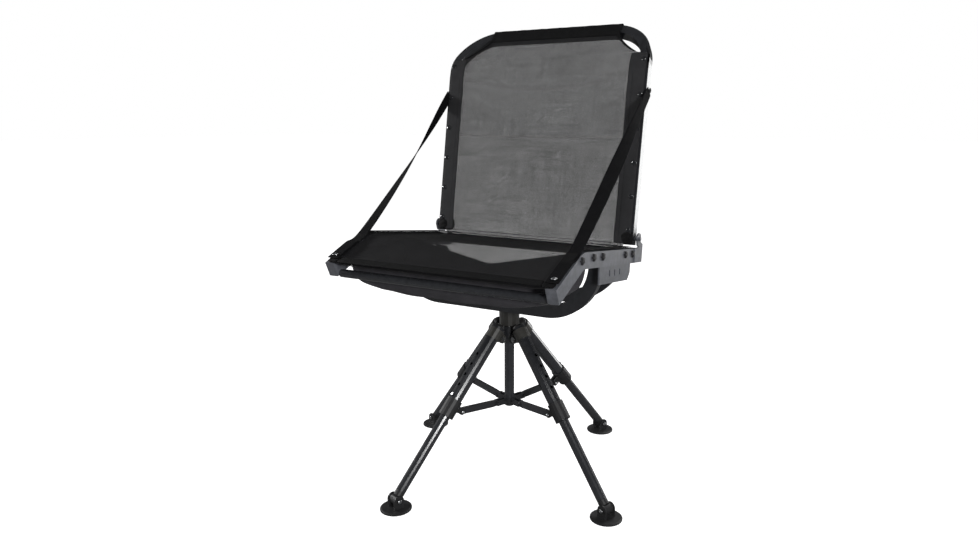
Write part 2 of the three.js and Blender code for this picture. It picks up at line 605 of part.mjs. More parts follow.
// Webbing from the front of a rail up to the side of the back: flat on the rail, on edge at the back.
function strap(name, side) {
  const [frontY, frontZ] = RAIL_TOP[0];
  const [kinkY, kinkZ] = RAIL_TOP[1];
  const lean = new THREE.Vector2(Math.sin(BACK_LEAN), Math.cos(BACK_LEAN)).multiplyScalar(STRAP_HEIGHT);
  const headX = BACK_HALF_WIDTH + STRAP_THICKNESS * 2;
  const curve = new THREE.CatmullRomCurve3([
    new THREE.Vector3(side * 228, frontY + 6, frontZ + 8),
    new THREE.Vector3(side * 230, kinkY - 4, kinkZ + 11),
    new THREE.Vector3(side * 231, (kinkY + HINGE[0] + lean.x) / 2, (kinkZ + HINGE[1] + lean.y) / 2 - 8),
    new THREE.Vector3(side * headX, HINGE[0] + lean.x, HINGE[1] + lean.y),
  ]);
  const length = curve.getLength();
  const band = new THREE.BoxGeometry(STRAP_WIDTH, STRAP_THICKNESS, length, 1, 1, 10);
  const position = band.attributes.position;
  const across = new THREE.Vector3();
  for (let i = 0; i < position.count; i += 1) {
    const along = THREE.MathUtils.clamp(position.getZ(i) / length + 0.5, 0, 1);
    const tangent = curve.getTangentAt(along);
    const turn = along * 86 * DEGREE;
    const level = new THREE.Vector3(1, 0, 0);
    const upright = new THREE.Vector3().crossVectors(tangent, level).normalize();
    across.copy(level).multiplyScalar(Math.cos(turn)).addScaledVector(upright, side * Math.sin(turn));
    const normal = new THREE.Vector3().crossVectors(tangent, across).normalize();
    const point = curve.getPointAt(along).addScaledVector(across, position.getX(i));
    point.addScaledVector(normal, position.getY(i));
    position.setXYZ(i, point.x, point.y, point.z);
  }
  return part(name, band, WEBBING);
}

// ---- Back. In its own frame the hinge is the origin, Z runs up the side tubes and -Y faces the
// sitter. ----

// Where a point of the flat back lands once its top is rolled back round a bend.
function rolledBack(y, z) {
  const run = Math.max(0, z - BACK_BEND_START);
  const radius = BACK_BEND_LENGTH / BACK_BEND;
  const turn = Math.min(run, BACK_BEND_LENGTH) / radius;
  const rest = Math.max(0, run - BACK_BEND_LENGTH);
  const middleY = radius * (1 - Math.cos(turn)) + rest * Math.sin(turn);
  const middleZ = z - run + radius * Math.sin(turn) + rest * Math.cos(turn);
  return new THREE.Vector2(middleY + y * Math.cos(turn), middleZ - y * Math.sin(turn));
}

function rolled(geometry) {
  const { position } = geometry.attributes;
  for (let i = 0; i < position.count; i += 1) {
    const point = rolledBack(position.getY(i), position.getZ(i));
    position.setY(i, point.x);
    position.setZ(i, point.y);
  }
  return geometry;
}

// The bent tube of the back as a solid bar, its faces drawn in by an inset and its open ends lengthened.
function backBar(inset, stretch) {
  const half = BACK_TUBE / 2 - inset;
  const width = BACK_HALF_WIDTH;
  const start = BACK_BEND_START;
  const top = BACK_LENGTH;
  const corner = BACK_CORNER_RADIUS;
  const path = [[width, start - 1], [width, top, corner], [-width, top, corner], [-width, start - 1]];
  const arch = extrudeAlongY(bandShape(path, inset, BACK_TUBE - inset, 16), -half, half);
  const outer = width - inset;
  const inner = width - BACK_TUBE + inset;
  const right = block(inner, outer, -half, half, -BACK_TAIL - stretch, start);
  const left = block(-outer, -inner, -half, half, -BACK_TAIL - stretch, start);
  return join(rolled(arch), right, left);
}

function backFrame() {
  const pivot = rodX(HINGE_STUD_RADIUS + FIT, -BACK_HALF_WIDTH - 5, BACK_HALF_WIDTH + 5);
  return part('back_frame', cut(backBar(0, 0), backBar(BACK_TUBE_WALL, 2), pivot), BLACK_STEEL);
}

// A sheet in front of the back frame, between two heights, that follows its roll-back.
function backSheet(half, bottom, top) {
  const heights = [bottom];
  const steps = 9;
  for (let step = 0; step <= steps; step += 1) {
    const height = BACK_BEND_START + (BACK_BEND_LENGTH * step) / steps;
    if (height > bottom && height < top) heights.push(height);
  }
  heights.push(top);
  const depth = BACK_TUBE / 2 + GAP;
  const rear = heights.map((z) => rolledBack(-depth, z));
  const front = heights.map((z) => rolledBack(-depth - SLING_THICKNESS, z)).reverse();
  return extrudeAlongX(new THREE.Shape([...rear, ...front]), -half, half);
}

// The mesh panel lies on the front of the side tubes, its top is sewn round the top tube and its
// bottom hangs behind the seat.
function backSling() {
  const shoulder = BACK_LENGTH - BACK_CORNER_RADIUS * 0.7;
  const sleeve = BACK_SLEEVE_HALF;
  const panel = backSheet(BACK_HALF_WIDTH - 3, BACK_SHEET_BOTTOM, shoulder);
  const tail = backSheet(SEAT_WIDTH / 2 - RAIL_WIDTH - 4, BACK_SHEET_TAIL, 50);
  const upper = backSheet(sleeve, 100, BACK_LENGTH - 1);
  const room = BACK_TUBE / 2 + 2;
  const top = BACK_LENGTH + 1;
  const bottom = BACK_LENGTH - BACK_TUBE - 6;
  const wall = SLING_THICKNESS;
  const outer = rolled(block(-sleeve, sleeve, -room - wall, room + wall, bottom - wall, top + wall));
  const inner = rolled(block(-sleeve - 5, sleeve + 5, -room, room, bottom, top));
  return part('back_sling', join(panel, tail, upper, cut(outer, inner)), MESH_FABRIC);
}

function back() {
  const group = new THREE.Group();
  group.add(backFrame(), backSling());
  group.position.set(0, ...HINGE);
  group.rotation.x = -BACK_LEAN;
  return group;
}

// ---- The whole chair ----

const chair = new THREE.Group();
chair.add(hub(), spindle(), columnTube(), columnEndCap(), spider());
for (const name of Object.keys(LEGS)) chair.add(leg(name));
chair.add(swivelHousing(), swivelBush(), swivelPlate());
chair.add(uTube('front_u_tube', FRONT_U), uTube('rear_u_tube', REAR_U));
chair.add(crossTube('front_cross_tube', FRONT_CROSS_TUBE), crossTube('rear_cross_tube', REAR_CROSS_TUBE));
for (const [hand, side] of [['l', -1], ['r', 1]]) {
  chair.add(sideRail(`side_rail_${hand}`, side), sidePlate(`side_plate_${hand}`, side));
  chair.add(hingeBracket(`hinge_bracket_${hand}`, side), strap(`strap_${hand}`, side));
}
chair.add(seatSling(), seatPouch(), back());

export default chair;
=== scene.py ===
import json
import math

import bmesh
import bpy
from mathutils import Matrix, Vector
from mathutils.bvhtree import BVHTree


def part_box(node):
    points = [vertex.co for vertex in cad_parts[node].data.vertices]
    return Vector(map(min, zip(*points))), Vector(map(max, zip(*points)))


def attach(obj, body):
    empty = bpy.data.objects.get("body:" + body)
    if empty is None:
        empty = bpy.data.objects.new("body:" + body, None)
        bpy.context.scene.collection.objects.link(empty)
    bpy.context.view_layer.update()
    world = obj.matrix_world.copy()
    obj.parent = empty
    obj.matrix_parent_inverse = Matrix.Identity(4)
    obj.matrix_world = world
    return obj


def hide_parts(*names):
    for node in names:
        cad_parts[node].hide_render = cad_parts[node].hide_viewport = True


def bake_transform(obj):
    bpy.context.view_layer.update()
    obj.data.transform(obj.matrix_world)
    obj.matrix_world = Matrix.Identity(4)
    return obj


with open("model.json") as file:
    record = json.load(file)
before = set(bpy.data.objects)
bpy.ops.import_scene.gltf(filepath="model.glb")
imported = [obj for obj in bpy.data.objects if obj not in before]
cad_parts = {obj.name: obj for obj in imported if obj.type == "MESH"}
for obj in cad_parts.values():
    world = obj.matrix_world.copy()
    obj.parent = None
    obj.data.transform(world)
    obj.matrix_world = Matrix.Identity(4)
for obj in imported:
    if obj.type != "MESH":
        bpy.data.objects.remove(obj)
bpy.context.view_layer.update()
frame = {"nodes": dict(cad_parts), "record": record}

RECORD = frame["record"]
MM = 0.001
X = Vector((1, 0, 0))
Y = Vector((0, 1, 0))
Z = Vector((0, 0, 1))


# ---- Places taken from the frame ----


def low(node):
    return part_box(node)[0]


def high(node):
    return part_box(node)[1]


def surface(node):
    """A CAD node's skin, for casting rays at."""
    mesh = frame["nodes"][node].data
    points = [v.co.copy() for v in mesh.vertices]
    return BVHTree.FromPolygons(points, [list(p.vertices) for p in mesh.polygons])


def joint_record(name):
    return next(j for j in RECORD["behaviour"]["joints"] if j["name"] == name)


def joint_place(name):
    return Vector(joint_record(name)["pos_m"])


def joint_axis(name):
    return Vector(joint_record(name)["axis"]).normalized()


SEAT_SKIN = surface("seat_sling")
BACK_SKIN = surface("back_sling")
SEAT_HALF = high("seat_sling").x
BACK_HALF = high("back_sling").x
SEAT_FRONT = low("seat_sling").y
SEAT_REAR = high("seat_sling").y
HINGE = joint_place("back_fold")
FAR = 0.5


def seat_top(y):
    """Height of the seat sheet's upper face at a depth."""
    edge = 0.5 * MM
    y = min(max(y, SEAT_FRONT + edge), SEAT_REAR - edge)
    return SEAT_SKIN.ray_cast(Vector((0, y, HINGE.z + FAR)), -Z)[0].z


def rail_top(side, y):
    """Height of a side rail's upper face at a depth."""
    name = "side_rail_r" if side > 0 else "side_rail_l"
    x = (low(name).x + high(name).x) / 2
    return surface(name).ray_cast(Vector((x, y, HINGE.z + FAR)), -Z)[0].z


def sling_front(z):
    """Point on the front face of the back sheet at a height, on the centre line."""
    return BACK_SKIN.ray_cast(Vector((0, -FAR, z)), Y)[0]


BACK_UP = (sling_front(HINGE.z + 0.25) - sling_front(HINGE.z + 0.08)).normalized()
BACK_FRONT = X.cross(BACK_UP).normalized()
if BACK_FRONT.y > 0:
    BACK_FRONT = -BACK_FRONT


BACK_FRAME_SKIN = surface("back_frame")
SCAN_STEP = 0.25 * MM
BEND_LENGTH = 45 * MM  # of the arc that rolls the top back


def straight_hit(skin, x, height):
    """Where a ray from the sitter's side meets a skin: height and depth on the straight back, and normal."""
    origin = HINGE + X * x + BACK_UP * height + BACK_FRONT * FAR
    place, normal, _, _ = skin.ray_cast(origin, -BACK_FRONT)
    if place is None:
        return None
    return (place - HINGE).dot(BACK_UP), (place - HINGE).dot(BACK_FRONT), normal


TUBE_HALF = straight_hit(BACK_FRAME_SKIN, high("back_frame").x - 10 * MM, 0.2)[1]
SHEET_FACE = straight_hit(BACK_SKIN, 0, 0.2)[1]


def read_bend():
    """The roll-back from the top tube's front face: its angle, where it starts and where the tube ends."""
    hits = []
    for step in range(600):
        hit = straight_hit(BACK_FRAME_SKIN, 0, 0.36 + step * SCAN_STEP)
        if hit:
            hits.append(hit)
    facing = max(hit[2].dot(BACK_FRONT) for hit in hits)
    face = [hit for hit in hits if hit[2].dot(BACK_FRONT) > facing - 0.01]
    angle = math.acos(min(facing, 1))
    radius = BEND_LENGTH / angle

    def beyond(hit):
        drop = TUBE_HALF * math.cos(angle) - hit[1] - radius * (1 - math.cos(angle))
        return drop / math.sin(angle)

    rest = beyond(face[-1])
    rise = (radius + TUBE_HALF) * math.sin(angle) + rest * math.cos(angle)
    start = face[-1][0] - rise
    return angle, start, start + BEND_LENGTH + rest


BEND_ANGLE, BEND_START, BACK_TOP = read_bend()


def turn_at(height):
    return min(max(height - BEND_START, 0), BEND_LENGTH) * BEND_ANGLE / BEND_LENGTH


def on_back(x, height, depth):
    """A point on the back: height runs up along the bent tubes from the hinge, depth towards the sitter."""
    radius = BEND_LENGTH / BEND_ANGLE
    turn = turn_at(height)
    rest = max(0, height - BEND_START - BEND_LENGTH)
    up = min(height, BEND_START) + (radius + depth) * math.sin(turn) + rest * math.cos(turn)
    out = depth * math.cos(turn) - radius * (1 - math.cos(turn)) - rest * math.sin(turn)
    return HINGE + X * x + BACK_UP * up + BACK_FRONT * out


def back_normal(height):
    turn = turn_at(height)
    return BACK_FRONT * math.cos(turn) + BACK_UP * math.sin(turn)


# ---- Materials ----


YARN_CHANGE = 330  # per metre, across the yarns
YARN_DRIFT = 9  # per metre, along them
YARN_SPREAD = 0.4


class Nodes:
    """A node material under construction."""

    def __init__(self, name):
        self.material = bpy.data.materials.new(name)
        self.material.use_nodes = True
        self.tree = self.material.node_tree
        self.shader = self.tree.nodes["Principled BSDF"]

    def add(self, kind, **inputs):
        node = self.tree.nodes.new(kind)
        for key, value in inputs.items():
            self.feed(node.inputs[key.replace("_", " ")], value)
        return node

    def feed(self, socket, value):
        if isinstance(value, bpy.types.NodeSocket):
            self.tree.links.new(value, socket)
        else:
            socket.default_value = value

    def set(self, name, value):
        self.feed(self.shader.inputs[name], value)

    def math(self, operation, a, b=0.0):
        node = self.tree.nodes.new("ShaderNodeMath")
        node.operation = operation
        self.feed(node.inputs[0], a)
        self.feed(node.inputs[1], b)
        return node.outputs[0]

    def place(self):
        return self.add("ShaderNodeTexCoord").outputs["Object"]

    def cloth(self):
        """The sheet's own coordinates in metres, across and along."""
        node = self.add("ShaderNodeUVMap")
        node.uv_map = "cloth"
        split = self.add("ShaderNodeSeparateXYZ", Vector=node.outputs[0])
        return split.outputs[0], split.outputs[1]

    def streak(self, fine, long):
        """A value about 0.5 that changes from yarn to yarn and only slowly along one."""
        place = self.add("ShaderNodeCombineXYZ")
        self.feed(place.inputs[0], self.math("MULTIPLY", fine, YARN_CHANGE))
        self.feed(place.inputs[1], self.math("MULTIPLY", long, YARN_DRIFT))
        inputs = {"Vector": place.outputs[0], "Scale": 1.0, "Detail": 1.0}
        change = self.add("ShaderNodeTexNoise", **inputs).outputs[0]
        return self.span(change, 0.5 - YARN_SPREAD / 2, 0.5 + YARN_SPREAD / 2)

    def noise(self, scale, detail=3.0, rough=0.55):
        inputs = {"Vector": self.place(), "Scale": scale, "Detail": detail, "Roughness": rough}
        return self.add("ShaderNodeTexNoise", **inputs).outputs[0]

    def span(self, value, to_low, to_high):
        node = self.add("ShaderNodeMapRange", Value=value)
        node.inputs["To Min"].default_value = to_low
        node.inputs["To Max"].default_value = to_high
        return node.outputs[0]

    def tint(self, factor, dark, light):
        node = self.tree.nodes.new("ShaderNodeMix")
        node.data_type = "RGBA"
        self.feed(node.inputs["Factor"], factor)
        node.inputs["A"].default_value = (*dark, 1)
        node.inputs["B"].default_value = (*light, 1)
        return node.outputs["Result"]

    def bump(self, height, strength, distance):
        node = self.add("ShaderNodeBump", Height=height, Strength=strength, Distance=distance)
        self.set("Normal", node.outputs[0])


def base_colour(slot):
    return next(m["base_color"] for m in RECORD["materials"] if m["slot"] == slot)


def scaled(colour, factor):
    return [min(c * factor, 1) for c in colour]


def coated_metal(slot, roughness, name=None, tone=1.0):
    """Powder coat: faint orange peel, uneven gloss and slightly rubbed edges."""
    n = Nodes(name or slot)
    colour = scaled(base_colour(slot), tone)
    edge = n.add("ShaderNodeNewGeometry").outputs["Pointiness"]
    rubbed = n.math("MULTIPLY", n.math("SUBTRACT", edge, 0.52), 9.0)
    worn = n.math("MULTIPLY", n.math("MAXIMUM", rubbed, 0.0), n.noise(90))
    mottled = n.math("ADD", n.math("MULTIPLY", n.noise(35), 0.3), worn)
    n.set("Base Color", n.tint(mottled, scaled(colour, 0.8), scaled(colour, 2.2)))
    n.set("Roughness", n.span(n.noise(60), roughness - 0.06, roughness + 0.08))
    n.set("Coat Weight", 0.7)
    n.set("Coat Roughness", 0.1)
    n.bump(n.noise(850, 2.0), 0.05, 0.1 * MM)
    return n.material


def bright_metal(slot):
    """Plated steel with fine turning marks and dull patches."""
    n = Nodes(slot)
    colour = base_colour(slot)
    n.set("Base Color", n.tint(n.noise(160), scaled(colour, 0.75), scaled(colour, 1.25)))
    n.set("Metallic", 1.0)
    n.set("Roughness", n.span(n.noise(420), 0.2, 0.38))
    n.bump(n.noise(2600, 1.0), 0.1, 0.05 * MM)
    return n.material


def moulded_plastic(slot, roughness):
    """Plastic with a spark-eroded grain."""
    n = Nodes(slot)
    colour = base_colour(slot)
    n.set("Base Color", n.tint(n.noise(70), scaled(colour, 0.85), scaled(colour, 1.7)))
    n.set("Roughness", n.span(n.noise(240), roughness - 0.05, roughness + 0.1))
    n.bump(n.noise(1900, 2.0), 0.22, 0.1 * MM)
    return n.material


def open_mesh(slot, pitch, hole):
    """Woven mesh: square holes between round, uneven yarns that pass over and under."""
    n = Nodes(slot)
    across, along = n.cloth()
    columns = n.math("DIVIDE", across, pitch)
    rows = n.math("DIVIDE", along, pitch)
    off_column = n.math("ABSOLUTE", n.math("SUBTRACT", n.math("FRACT", columns), 0.5))
    off_row = n.math("ABSOLUTE", n.math("SUBTRACT", n.math("FRACT", rows), 0.5))
    half_wide = n.math("MULTIPLY", n.streak(across, along), hole)
    half_high = n.math("MULTIPLY", n.streak(along, across), hole)
    in_column = n.math("GREATER_THAN", off_column, half_wide)
    in_row = n.math("GREATER_THAN", off_row, half_high)
    near_skin = n.math("SUBTRACT", 1.0, n.add("ShaderNodeNewGeometry").outputs["Backfacing"])
    n.set("Alpha", n.math("MULTIPLY", n.math("MAXIMUM", in_column, in_row), near_skin))
    over = n.math("COSINE", n.math("MULTIPLY", n.math("ADD", columns, rows), math.pi))
    crown = n.math("MAXIMUM", off_column, off_row)
    n.bump(n.math("ADD", crown, n.math("MULTIPLY", n.math("ABSOLUTE", over), 0.35)), 0.5, 0.35 * MM)
    colour = base_colour(slot)
    n.set("Base Color", n.tint(n.noise(24), scaled(colour, 0.5), scaled(colour, 0.9)))
    n.set("Roughness", n.span(n.noise(300), 0.5, 0.68))
    n.set("Specular IOR Level", 0.3)
    return n.material


def woven_cloth(name, colour, pitch, sheen):
    """Plain cloth: a close over-and-under weave with soft colour variation."""
    n = Nodes(name)
    across, along = n.cloth()
    turn = 2 * math.pi / pitch
    warp = n.math("SINE", n.math("MULTIPLY", across, turn))
    weft = n.math("SINE", n.math("MULTIPLY", along, turn))
    weave = n.math("MULTIPLY", warp, weft)
    n.bump(n.math("ADD", weave, n.noise(90)), 0.35, 0.25 * MM)
    n.set("Base Color", n.tint(n.noise(30), scaled(colour, 0.75), scaled(colour, 1.5)))
    n.set("Roughness", n.span(n.noise(200), 0.72, 0.9))
    n.set("Specular IOR Level", 0.25)
    n.set("Sheen Weight", sheen)
    n.set("Sheen Roughness", 0.4)
    return n.material


def ribbed_webbing(slot):
    """Webbing: ribs across the band and fine yarn lines along it."""
    n = Nodes(slot)
    across, along = n.cloth()
    rib = n.math("SINE", n.math("MULTIPLY", along, 2 * math.pi / (1.7 * MM)))
    yarn = n.math("SINE", n.math("MULTIPLY", across, 2 * math.pi / (2.3 * MM)))
    n.bump(n.math("ADD", rib, n.math("MULTIPLY", yarn, 0.6)), 0.6, 0.3 * MM)
    colour = base_colour(slot)
    n.set("Base Color", n.tint(n.noise(45), scaled(colour, 0.3), scaled(colour, 0.7)))
    n.set("Roughness", n.span(n.noise(260), 0.7, 0.88))
    n.set("Specular IOR Level", 0.12)
    return n.material


MESH_PITCH = 1.5 * MM
MESH_HOLE = 0.33
MATERIALS = {
    "black_steel": coated_metal("black_steel", 0.2),
    "grey_steel": coated_metal("grey_steel", 0.42, tone=0.5),
    "bright_steel": bright_metal("bright_steel"),
    "black_plastic": moulded_plastic("black_plastic", 0.46),
    "mesh_fabric": open_mesh("mesh_fabric", MESH_PITCH, MESH_HOLE),
    "pouch_fabric": woven_cloth("pouch_fabric", scaled(base_colour("pouch_fabric"), 2.2), 1.1 * MM, 0.05),
    "webbing": ribbed_webbing("webbing"),
}
EDGE_CLOTH = woven_cloth("edge_cloth", scaled(base_colour("webbing"), 0.25), 1.2 * MM, 0.0)
BORDER_CLOTH = woven_cloth("border_cloth", base_colour("mesh_fabric"), MESH_PITCH, 0.02)
# A satin copy of black steel for the flat parts. Its colour is brightened 4.4 times: painted light where the
# key lamp falls on their faces.
SATIN_STEEL_PAINTED_LIGHT = coated_metal("black_steel", 0.4, "black_steel_satin_painted_light", 4.4)
FLAT_STEEL_PARTS = ("side_rail", "side_plate", "hinge_bracket")


# ---- CAD pieces keep their shape and get rounded edges and a finish ----

EDGE_ROUND = {
    "black_steel": 0.7 * MM,
    "grey_steel": 0.6 * MM,
    "bright_steel": 0.3 * MM,
    "black_plastic": 0.6 * MM,
}
SMOOTH_ANGLE = math.radians(32)


def finish_cad():
    for subpart in RECORD["subparts"]:
        obj = frame["nodes"][subpart["node"]]
        slot = subpart["material_slot"]
        # Flat rails, plates and brackets get the satin copy of black steel, whose brighter colour is painted
        # light.
        takes_painted_light = subpart["node"].startswith(FLAT_STEEL_PARTS)
        obj.data.materials.clear()
        obj.data.materials.append(SATIN_STEEL_PAINTED_LIGHT if takes_painted_light else MATERIALS[slot])
        for polygon in obj.data.polygons:
            polygon.use_smooth = True
        obj.data.set_sharp_from_angle(angle=SMOOTH_ANGLE)
        if slot in EDGE_ROUND:
            bevel = obj.modifiers.new("rounded_edges", "BEVEL")
            bevel.width = EDGE_ROUND[slot]
            bevel.segments = 2
            bevel.limit_method = "ANGLE"
            bevel.angle_limit = math.radians(40)
            bevel.harden_normals = True


# ---- Mesh helpers ----


def new_object(name, bm, material, smooth=True):
    mesh = bpy.data.meshes.new(name)
    bm.to_mesh(mesh)
    bm.free()
    obj = bpy.data.objects.new(name, mesh)
    bpy.context.scene.collection.objects.link(obj)
    mesh.materials.append(material)
    for polygon in mesh.polygons:
        polygon.use_smooth = smooth
    return obj


def sheet(name, rows, material, closed=False):
    """A grid of quads through rows of points, with its own cloth coordinates in metres."""
    bm = bmesh.new()
    cloth = bm.loops.layers.uv.new("cloth")
    grid = [[bm.verts.new(point) for point in row] for row in rows]
    along = [0.0]
    for before, after in zip(rows, rows[1:]):
        middle = len(before) // 2
        along.append(along[-1] + (after[middle] - before[middle]).length)
    width = len(rows[0])
    for i in range(len(rows) - 1):
        across = 0.0
        for j in range(width if closed else width - 1):
            k = (j + 1) % width
            step = (rows[i][k] - rows[i][j]).length
            face = bm.faces.new((grid[i][j], grid[i][k], grid[i + 1][k], grid[i + 1][j]))
            corners = ((across, along[i]), (across + step, along[i]))
            corners += ((across + step, along[i + 1]), (across, along[i + 1]))
            for loop, uv in zip(face.loops, corners):
                loop[cloth].uv = uv
            across += step
    bmesh.ops.recalc_face_normals(bm, faces=bm.faces)
    return new_object(name, bm, material)


def thicken(obj, thickness, offset=0.0, levels=1):
    solid = obj.modifiers.new("thickness", "SOLIDIFY")
    solid.thickness = thickness
    solid.offset = offset
    if levels:
        soft = obj.modifiers.new("soft", "SUBSURF")
        soft.levels = levels
        soft.render_levels = levels


def spread(start, end, count):
    return [start + (end - start) * i / (count - 1) for i in range(count)]


def apply_modifiers(obj):
    depsgraph = bpy.context.evaluated_depsgraph_get()
    shaped = bpy.data.meshes.new_from_object(obj.evaluated_get(depsgraph))
    obj.modifiers.clear()
    obj.data = shaped


CLOTH_FRAMES = 20


def settle(obj, pinned, pull, cap):
    """Lets a sheet hang from its pinned points, then keeps each point within a cap of its start."""
    start = [v.co.copy() for v in obj.data.vertices]
    group = obj.vertex_groups.new(name="pinned")
    group.add(pinned, 1.0, "REPLACE")
    cloth = obj.modifiers.new("cloth", "CLOTH")
    cloth.settings.vertex_group_mass = "pinned"
    cloth.settings.quality = 6
    cloth.settings.tension_stiffness = 25
    cloth.settings.bending_stiffness = 0.8
    cloth.settings.effector_weights.gravity = pull
    cloth.point_cache.frame_end = CLOTH_FRAMES
    for step in range(1, CLOTH_FRAMES + 1):
        bpy.context.scene.frame_set(step)
    depsgraph = bpy.context.evaluated_depsgraph_get()
    moved = [v.co.copy() for v in obj.evaluated_get(depsgraph).data.vertices]
    obj.modifiers.clear()
    obj.vertex_groups.clear()
    for vertex, rest, now in zip(obj.data.vertices, start, moved):
        shift = now - rest
        if shift.length > cap:
            shift = shift.normalized() * cap
        vertex.co = rest + shift
    bpy.context.scene.frame_set(1)


# ---- Seat ----

SEAT_COLUMNS = 49
SEAT_ROWS = 45
SEAT_SAG = 4 * MM
HEM_WIDTH = 24 * MM
HEM_THICKNESS = 1.4 * MM
FABRIC_THICKNESS = 0.9 * MM
LIFT = 0.3 * MM


def seat_mesh():
    depths = spread(SEAT_FRONT + MM, SEAT_REAR - MM, SEAT_ROWS)
    half = SEAT_HALF - 2 * MM
    rows = [[Vector((x, y, seat_top(y) - MM)) for x in spread(-half, half, SEAT_COLUMNS)] for y in depths]
    obj = sheet("seat_mesh", rows, MATERIALS["mesh_fabric"])
    last = SEAT_COLUMNS - 1
    edge = [i for i in range(len(obj.data.vertices)) if i % SEAT_COLUMNS in (0, 1, last - 1, last)]
    settle(obj, edge, 0.4, SEAT_SAG)
    thicken(obj, FABRIC_THICKNESS)
    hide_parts("seat_sling")
    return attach(obj, "seat")


def hem_strip(name, lines, body, cloth=None):
    """A doubled border of cloth between two edge lines."""
    rows = [[a.lerp(b, t) for t in spread(0, 1, 5)] for a, b in lines]
    obj = sheet(name, rows, cloth or EDGE_CLOTH)
    thicken(obj, HEM_THICKNESS, 1.0)
    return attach(obj, body)


def seat_hems():
    depths = spread(SEAT_FRONT + MM, SEAT_REAR - MM, SEAT_ROWS)
    for side, hand in ((-1, "l"), (1, "r")):
        lines = []
        for y in depths:
            z = seat_top(y) + LIFT
            outer = Vector((side * (SEAT_HALF - MM), y, z))
            inner = Vector((side * (SEAT_HALF - HEM_WIDTH), y, z))
            lines.append((outer, inner))
        hem_strip(f"seat_hem_{hand}", lines, "seat")
    for end, y, inward in (("front", SEAT_FRONT + MM, 1), ("rear", SEAT_REAR - MM, -1)):
        lines = []
        for x in spread(-SEAT_HALF + HEM_WIDTH, SEAT_HALF - HEM_WIDTH, 25):
            inner = y + inward * HEM_WIDTH * 0.7
            lines.append((Vector((x, y, seat_top(y) + LIFT)), Vector((x, inner, seat_top(inner) + LIFT))))
        hem_strip(f"seat_hem_{end}", lines, "seat")


# ---- Pouch under the front of the seat ----

POUCH_COLUMNS = 45
POUCH_POINTS = 27
POUCH_SAG = 5 * MM
POUCH_DIP = 43 * MM  # of the rear edge at the middle


def pouch():
    """A cloth bag under the seat: walls that drop from its edges, a slack floor and a rear edge that dips."""
    lo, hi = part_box("seat_pouch")
    half = hi.x - 2 * MM
    rear = hi.y + 4 * MM  # between the arms of the front U tube
    middle = (lo.y + rear) / 2
    reach = (rear - lo.y) / 2
    front_top = seat_top(lo.y) - 6 * MM
    rear_top = seat_top(hi.y) - 5 * MM
    rows = []
    for spot in spread(-math.pi / 2, math.pi / 2, POUCH_COLUMNS):
        x = half * math.sin(spot)
        share = abs(x) / half
        fullness = (1 - share ** 40) ** 0.25
        row = []
        for step in range(POUCH_POINTS):
            part = step / (POUCH_POINTS - 1)
            angle = math.pi * part
            lean = -math.cos(angle)
            y = middle + reach * math.copysign(abs(lean) ** 0.25, lean)
            edge = front_top + (rear_top - POUCH_DIP * (1 - share) - front_top) * part
            floor_z = lo.z + 3 * MM + 3 * MM * share ** 2 + MM * math.sin(x * 61 + y * 40)
            floor_z += 13 * MM * (1 - part) * share ** 3
            drop = (edge - floor_z) * math.sin(angle) ** 0.25 * fullness
            row.append(Vector((x, y, edge - drop)))
        rows.append(row)
    obj = sheet("seat_pouch_cloth", rows, MATERIALS["pouch_fabric"])
    last = POUCH_POINTS - 1
    count = len(obj.data.vertices)
    pinned = [i for i in range(count) if i % POUCH_POINTS in (0, last)]
    pinned += list(range(2 * POUCH_POINTS)) + list(range(count - 2 * POUCH_POINTS, count))
    settle(obj, sorted(set(pinned)), 0.3, POUCH_SAG)
    thicken(obj, FABRIC_THICKNESS)
    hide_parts("seat_pouch")
    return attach(obj, "seat")


# ---- Back ----

PANEL_TAIL = -29 * MM  # between the rails, behind the seat
PANEL_BOTTOM = -11 * MM  # at the side tubes
SHOULDER = BACK_TOP - 84 * MM  # where the panel leaves the side tubes
SLEEVE_DROP = 35 * MM
SLEEVE_HALF = 154 * MM
SIDE_TUBE = 2 * TUBE_HALF
TAIL_HALF = low("side_rail_r").x - 6 * MM
BACK_SAG = 3 * MM
BORDER_WIDTH = 37 * MM
PANEL_DEPTH = SHEET_FACE - MM
PANEL_COLUMNS = 49


def panel_half(height):
    """Half the panel's width: full on the side tubes, then in to the sleeve in a hollow curve."""
    if height < PANEL_BOTTOM:
        return TAIL_HALF
    if height <= SHOULDER:
        return BACK_HALF - MM
    part = min((height - SHOULDER) / (BACK_TOP - SLEEVE_DROP - SHOULDER), 1)
    inner = BACK_HALF - SIDE_TUBE + MM
    return inner + (SLEEVE_HALF - inner) * part ** 0.62


def edge_heights():
    return spread(SHOULDER + 2 * MM, BACK_TOP - SLEEVE_DROP + 8 * MM, 12)


def panel_depth(height):
    """The panel lies on the tubes, and its tail turns back to clear the seat."""
    tail = max(0, (PANEL_BOTTOM - height) / (PANEL_BOTTOM - PANEL_TAIL))
    return PANEL_DEPTH - (PANEL_DEPTH - 2 * MM) * min(1, 1.6 * tail)


def back_mesh():
    heights = spread(PANEL_TAIL, PANEL_BOTTOM - MM, 6) + spread(PANEL_BOTTOM, SHOULDER, 44) + edge_heights()
    rows = []
    for height in heights:
        half = panel_half(height)
        rows.append([on_back(x, height, panel_depth(height)) for x in spread(-half, half, PANEL_COLUMNS)])
    obj = sheet("back_mesh", rows, MATERIALS["mesh_fabric"])
    last = PANEL_COLUMNS - 1
    edge = [i for i in range(len(obj.data.vertices)) if i % PANEL_COLUMNS in (0, 1, last - 1, last)]
    edge += list(range((len(rows) - 2) * PANEL_COLUMNS, len(rows) * PANEL_COLUMNS))
    edge += list(range(3 * PANEL_COLUMNS))
    settle(obj, sorted(set(edge)), 0.3, BACK_SAG)
    thicken(obj, FABRIC_THICKNESS)
    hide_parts("back_sling")
    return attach(obj, "back")


